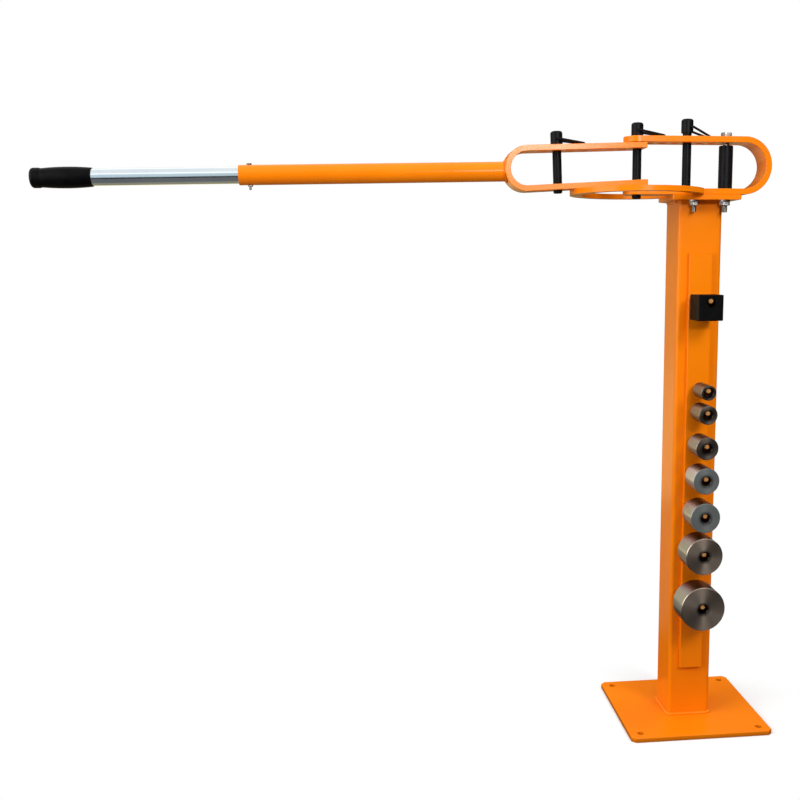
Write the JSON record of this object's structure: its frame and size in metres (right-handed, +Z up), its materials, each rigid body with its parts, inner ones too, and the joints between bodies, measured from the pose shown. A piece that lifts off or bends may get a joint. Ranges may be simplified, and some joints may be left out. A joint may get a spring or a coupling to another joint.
{
  "type": "manual bar bender",
  "caption": "Floor-standing hand bar bender: square column on a base plate, U-shaped bending frame with pins and roller, swing arm with long handle, and round dies hung on the column.",
  "frame": {"origin": "on the floor, at the middle of the base plate's underside, under the column's axis", "axes": "+Z up the column; +X along the bending frame towards its closed end, so the handle points to -X; -Y is the side on which the dies hang"},
  "size_m": [1.1814, 0.2805, 1.0353],
  "materials": {
    "orange_paint": "gloss paint",
    "zinc_steel": "zinc plated",
    "bright_tube": "bright plated",
    "grip_rubber": "satin",
    "black_steel": "black oxide",
    "turned_steel": "turned"
  },
  "bodies": {
    "stand": {"base_plate": "orange_paint", "column": "orange_paint", "foot_weld": "orange_paint", "top_plate": "orange_paint", "main_frame": "orange_paint", "guide_ring": "orange_paint", "frame_stud": "zinc_steel", "roller_bolt": "zinc_steel", "bolt_washers": "zinc_steel", "bolt_nuts": "zinc_steel", "die_rack": "orange_paint", "rack_pegs": "orange_paint"},
    "arm": {"swing_arm": "orange_paint", "handle_socket": "orange_paint", "handle_tube": "bright_tube", "handle_grip": "grip_rubber", "handle_bolt": "zinc_steel", "handle_nut": "zinc_steel"},
    "roller": {"roller_sleeve": "black_steel"},
    "pivot_pin": {"pivot_pin": "black_steel"},
    "pivot_bail": {"pivot_bail": "black_steel"},
    "stop_pin": {"stop_pin": "black_steel"},
    "stop_bail": {"stop_bail": "black_steel"},
    "bending_pin": {"bending_pin": "black_steel"},
    "bending_bail": {"bending_bail": "black_steel"},
    "die_25": {"die_25": "turned_steel"},
    "die_32": {"die_32": "turned_steel"},
    "die_38": {"die_38": "turned_steel"},
    "die_44": {"die_44": "turned_steel"},
    "die_51": {"die_51": "turned_steel"},
    "die_64": {"die_64": "turned_steel"},
    "die_76": {"die_76": "turned_steel"},
    "square_block": {"square_block": "black_steel"}
  },
  "joints": [
    {"name": "arm_swing", "type": "hinge", "parent": "stand", "child": "arm", "pos_m": [-0.1125, -0.048, 0.9605], "axis": [0, 0, 1], "range_deg": [-150, 150]},
    {"name": "roller_spin", "type": "hinge", "parent": "stand", "child": "roller", "pos_m": [0.0365, -0.048, 0.9605], "axis": [0, 0, 1], "continuous": true},
    {"name": "pivot_pin_lift", "type": "slide", "parent": "stand", "child": "pivot_pin", "axis": [0, 0, 1], "range_m": [0, 0.11]},
    {"name": "pivot_bail_turn", "type": "hinge", "parent": "pivot_pin", "child": "pivot_bail", "pos_m": [-0.1125, -0.048, 1.0163], "axis": [0, -1, 0], "range_deg": [0, 180]},
    {"name": "stop_pin_lift", "type": "slide", "parent": "stand", "child": "stop_pin", "axis": [0, 0, 1], "range_m": [0, 0.11]},
    {"name": "stop_bail_turn", "type": "hinge", "parent": "stop_pin", "child": "stop_bail", "pos_m": [-0.0295, -0.048, 1.0228], "axis": [0.309, -0.9511, 0], "range_deg": [0, 180]},
    {"name": "bending_pin_lift", "type": "slide", "parent": "arm", "child": "bending_pin", "axis": [-0.0323, 0, 0.9995], "range_m": [0, 0.085]},
    {"name": "bending_bail_turn", "type": "hinge", "parent": "bending_pin", "child": "bending_bail", "pos_m": [-0.24513, -0.048, 1.00186], "axis": [0, -1, 0], "range_deg": [0, 180]},
    {"name": "die_25_slide", "type": "slide", "parent": "stand", "child": "die_25", "axis": [0, -1, 0], "range_m": [-0.009, 0.055]},
    {"name": "die_32_slide", "type": "slide", "parent": "stand", "child": "die_32", "axis": [0, -1, 0], "range_m": [-0.009, 0.055]},
    {"name": "die_38_slide", "type": "slide", "parent": "stand", "child": "die_38", "axis": [0, -1, 0], "range_m": [-0.009, 0.055]},
    {"name": "die_44_slide", "type": "slide", "parent": "stand", "child": "die_44", "axis": [0, -1, 0], "range_m": [-0.009, 0.055]},
    {"name": "die_51_slide", "type": "slide", "parent": "stand", "child": "die_51", "axis": [0, -1, 0], "range_m": [-0.009, 0.055]},
    {"name": "die_64_slide", "type": "slide", "parent": "stand", "child": "die_64", "axis": [0, -1, 0], "range_m": [-0.009, 0.055]},
    {"name": "die_76_slide", "type": "slide", "parent": "stand", "child": "die_76", "axis": [0, -1, 0], "range_m": [-0.009, 0.055]},
    {"name": "square_block_slide", "type": "slide", "parent": "stand", "child": "square_block", "axis": [0, -1, 0], "range_m": [-0.009, 0.055]}
  ]
}
